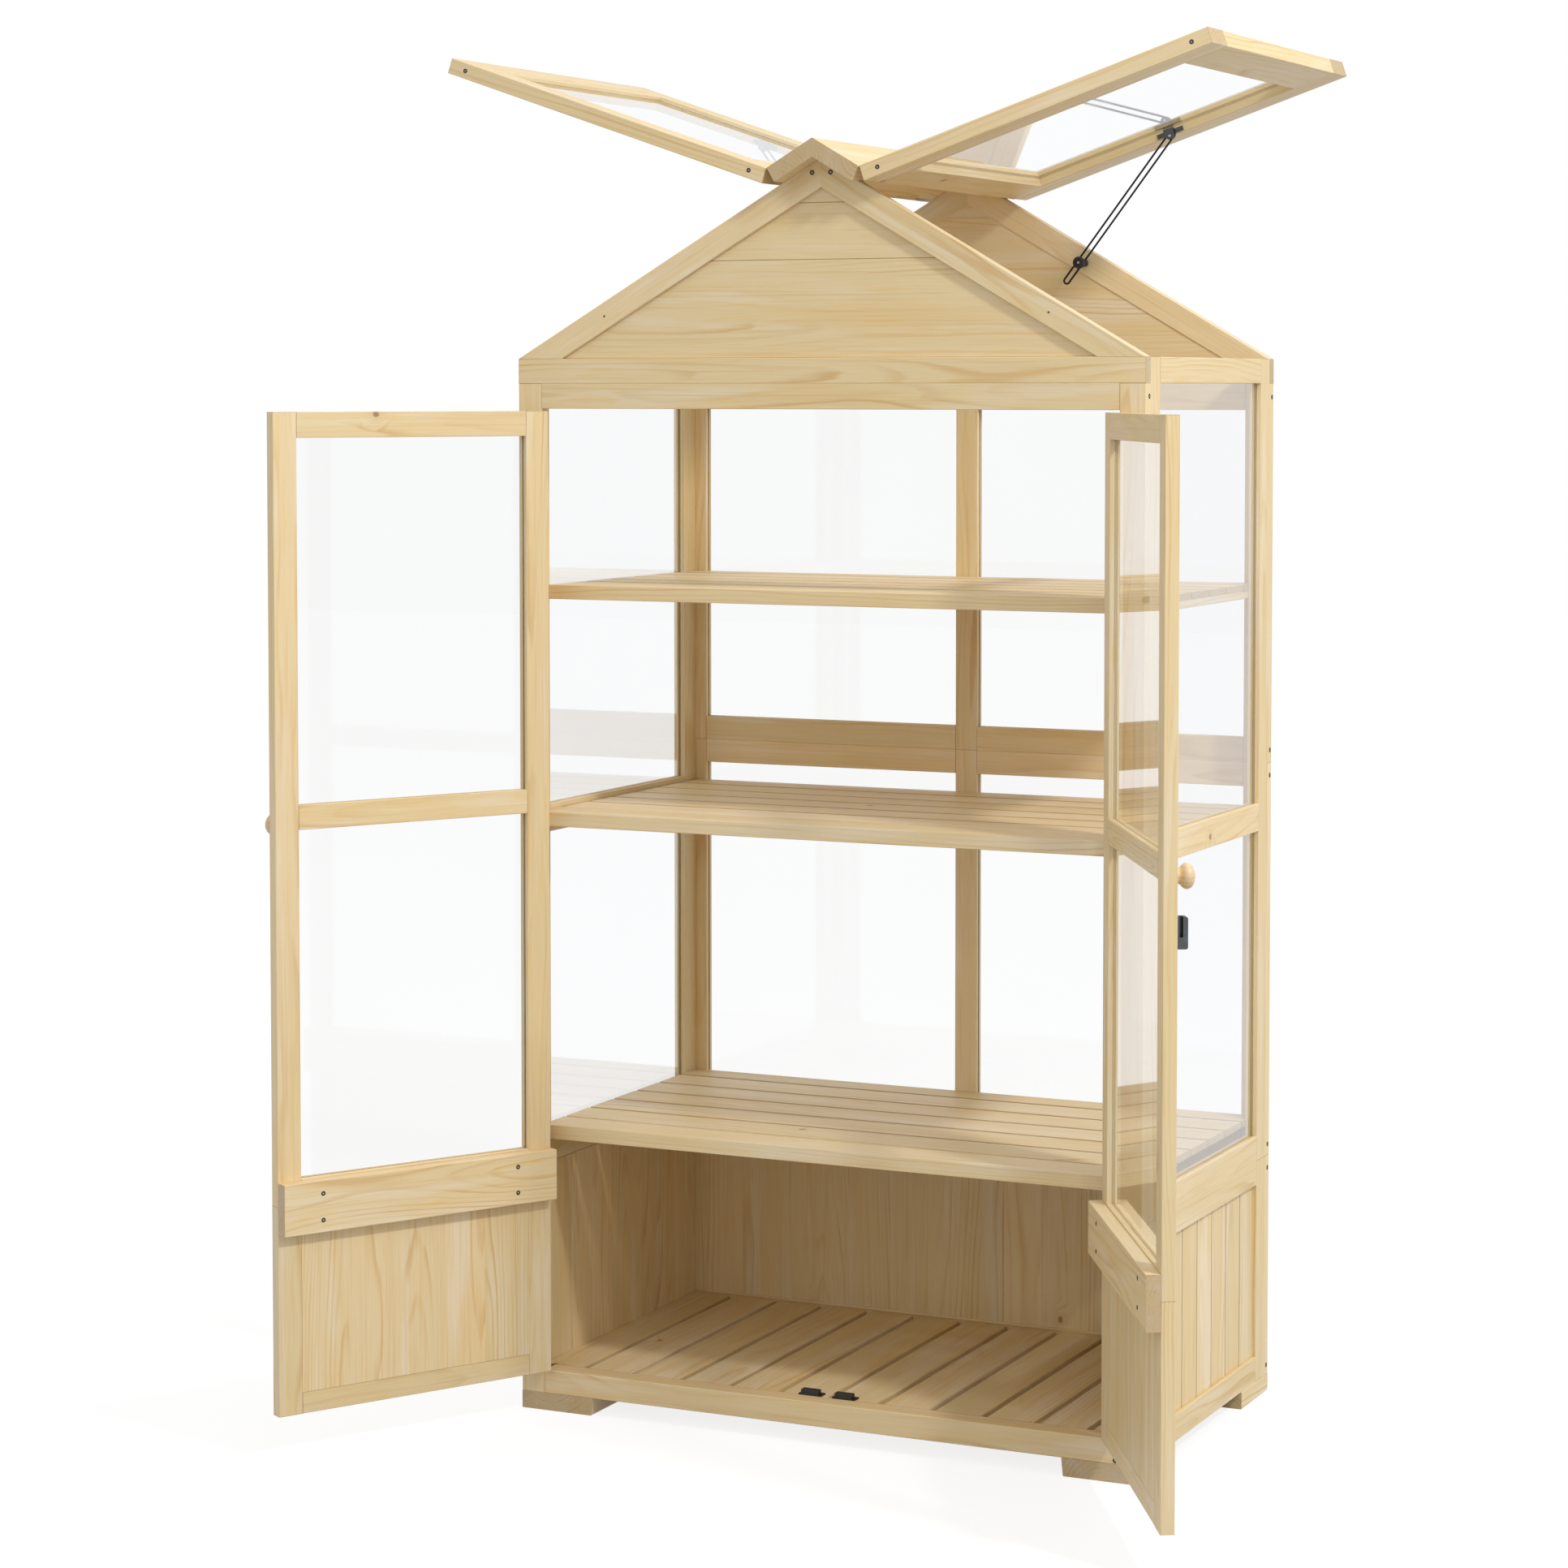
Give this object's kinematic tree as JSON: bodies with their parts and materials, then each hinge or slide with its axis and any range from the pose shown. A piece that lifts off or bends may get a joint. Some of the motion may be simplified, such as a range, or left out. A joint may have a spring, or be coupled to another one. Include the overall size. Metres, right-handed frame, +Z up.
{
  "type": "mini greenhouse",
  "caption": "Free-standing wooden mini greenhouse with glazed double doors, slatted shelves and a gable roof of two hinged windows on sliding stays.",
  "frame": {"origin": "on the ground, in the middle of the area that the greenhouse covers with its doors open as at rest, which is 175 mm in front of the middle of the cabinet", "axes": "+X to the right seen from the front, +Y to the back wall, +Z up; the doors are on the -Y side"},
  "size_m": [1.2736, 0.922, 1.8443],
  "materials": {
    "pine_wood": "planed, clear lacquer",
    "turned_wood": "turned and sanded, clear lacquer",
    "clear_pane": "smooth",
    "hinge_steel": "satin zinc",
    "dark_metal": "satin powder coat",
    "black_plastic": "satin"
  },
  "bodies": {
    "cabinet": {"feet": "pine_wood", "front_sill": "pine_wood", "floor_rear_rail": "pine_wood", "floor_slats": "pine_wood", "floor_bearers": "pine_wood", "left_base_frame": "pine_wood", "right_base_frame": "pine_wood", "left_base_boards": "pine_wood", "right_base_boards": "pine_wood", "back_base_frame": "pine_wood", "back_base_boards": "pine_wood", "left_side_frame": "pine_wood", "right_side_frame": "pine_wood", "side_panes": "clear_pane", "back_lower_frame": "pine_wood", "back_upper_frame": "pine_wood", "back_panes": "clear_pane", "front_posts": "pine_wood", "door_head_rail": "pine_wood", "front_gable_rail": "pine_wood", "rear_gable_rail": "pine_wood", "front_rafters": "pine_wood", "rear_rafters": "pine_wood", "front_gable_boards": "pine_wood", "rear_gable_boards": "pine_wood", "ridge_boards": "pine_wood", "top_shelf_slats": "pine_wood", "middle_shelf_slats": "pine_wood", "bottom_shelf_slats": "pine_wood", "shelf_battens": "pine_wood", "magnetic_catches": "black_plastic", "fixed_hinge_leaves": "hinge_steel"},
    "left_door": {"left_door_frame": "pine_wood", "left_door_panes": "clear_pane", "left_door_panel": "pine_wood", "left_door_cross_board": "pine_wood", "left_door_knob": "turned_wood", "left_door_hinge_leaves": "hinge_steel", "latch_plate": "dark_metal"},
    "right_door": {"right_door_frame": "pine_wood", "right_door_panes": "clear_pane", "right_door_panel": "pine_wood", "right_door_cross_board": "pine_wood", "right_door_knob": "turned_wood", "right_door_hinge_leaves": "hinge_steel", "latch_keeper": "dark_metal"},
    "latch_bar": {"latch_bar": "dark_metal"},
    "left_window": {"left_window_frame": "pine_wood", "left_window_pane": "clear_pane", "left_window_hinge_leaves": "hinge_steel", "left_stay_bracket": "dark_metal"},
    "right_window": {"right_window_frame": "pine_wood", "right_window_pane": "clear_pane", "right_window_hinge_leaves": "hinge_steel", "right_stay_bracket": "dark_metal"},
    "left_stay": {"left_stay_loop": "dark_metal"},
    "right_stay": {"right_stay_loop": "dark_metal"},
    "left_stay_knob": {"left_stay_knob": "black_plastic"},
    "right_stay_knob": {"right_stay_knob": "black_plastic"}
  },
  "joints": [
    {"name": "right_door_hinge", "type": "hinge", "parent": "cabinet", "child": "right_door", "pos_m": [0.4148, -0.08448, 0.72], "axis": [0, 0, -1], "range_deg": [-60, 120]},
    {"name": "left_door_hinge", "type": "hinge", "parent": "cabinet", "child": "left_door", "pos_m": [-0.4148, -0.08448, 0.72], "axis": [0, 0, 1], "range_deg": [-60, 120]},
    {"name": "right_window_hinge", "type": "hinge", "parent": "cabinet", "child": "right_window", "pos_m": [0.06563, 0.17502, 1.68532], "axis": [0, 1, 0], "range_deg": [-3, 48.7]},
    {"name": "right_stay_pivot", "type": "hinge", "parent": "right_window", "child": "right_stay", "pos_m": [0.3117, 0.39572, 1.74591], "axis": [0, 1, 0], "range_deg": [-3, 24]},
    {"name": "right_stay_slide", "type": "slide", "parent": "right_stay", "child": "right_stay_knob", "axis": [0.6101, 0, 0.7923], "range_m": [-0.01, 0.119]},
    {"name": "left_window_hinge", "type": "hinge", "parent": "cabinet", "child": "left_window", "pos_m": [-0.06563, 0.17502, 1.68532], "axis": [0, -1, 0], "range_deg": [-3, 48.7]},
    {"name": "left_stay_pivot", "type": "hinge", "parent": "left_window", "child": "left_stay", "pos_m": [-0.3117, 0.39572, 1.74591], "axis": [0, -1, 0], "range_deg": [-3, 24]},
    {"name": "left_stay_slide", "type": "slide", "parent": "left_stay", "child": "left_stay_knob", "axis": [-0.6101, 0, 0.7923], "range_m": [-0.01, 0.119]},
    {"name": "latch_turn", "type": "hinge", "parent": "left_door", "child": "latch_bar", "pos_m": [-0.62076, -0.43322, 0.766], "axis": [0.866, -0.5, 0], "range_deg": [0, 90]}
  ],
  "couplings": [
    {"joint": "right_stay_pivot", "follows": "right_window_hinge", "ratio": 0.46897},
    {"joint": "right_stay_slide", "follows": "right_window_hinge", "m_per_rad": 0.13826},
    {"joint": "left_stay_pivot", "follows": "left_window_hinge", "ratio": 0.46897},
    {"joint": "left_stay_slide", "follows": "left_window_hinge", "m_per_rad": 0.13826}
  ]
}
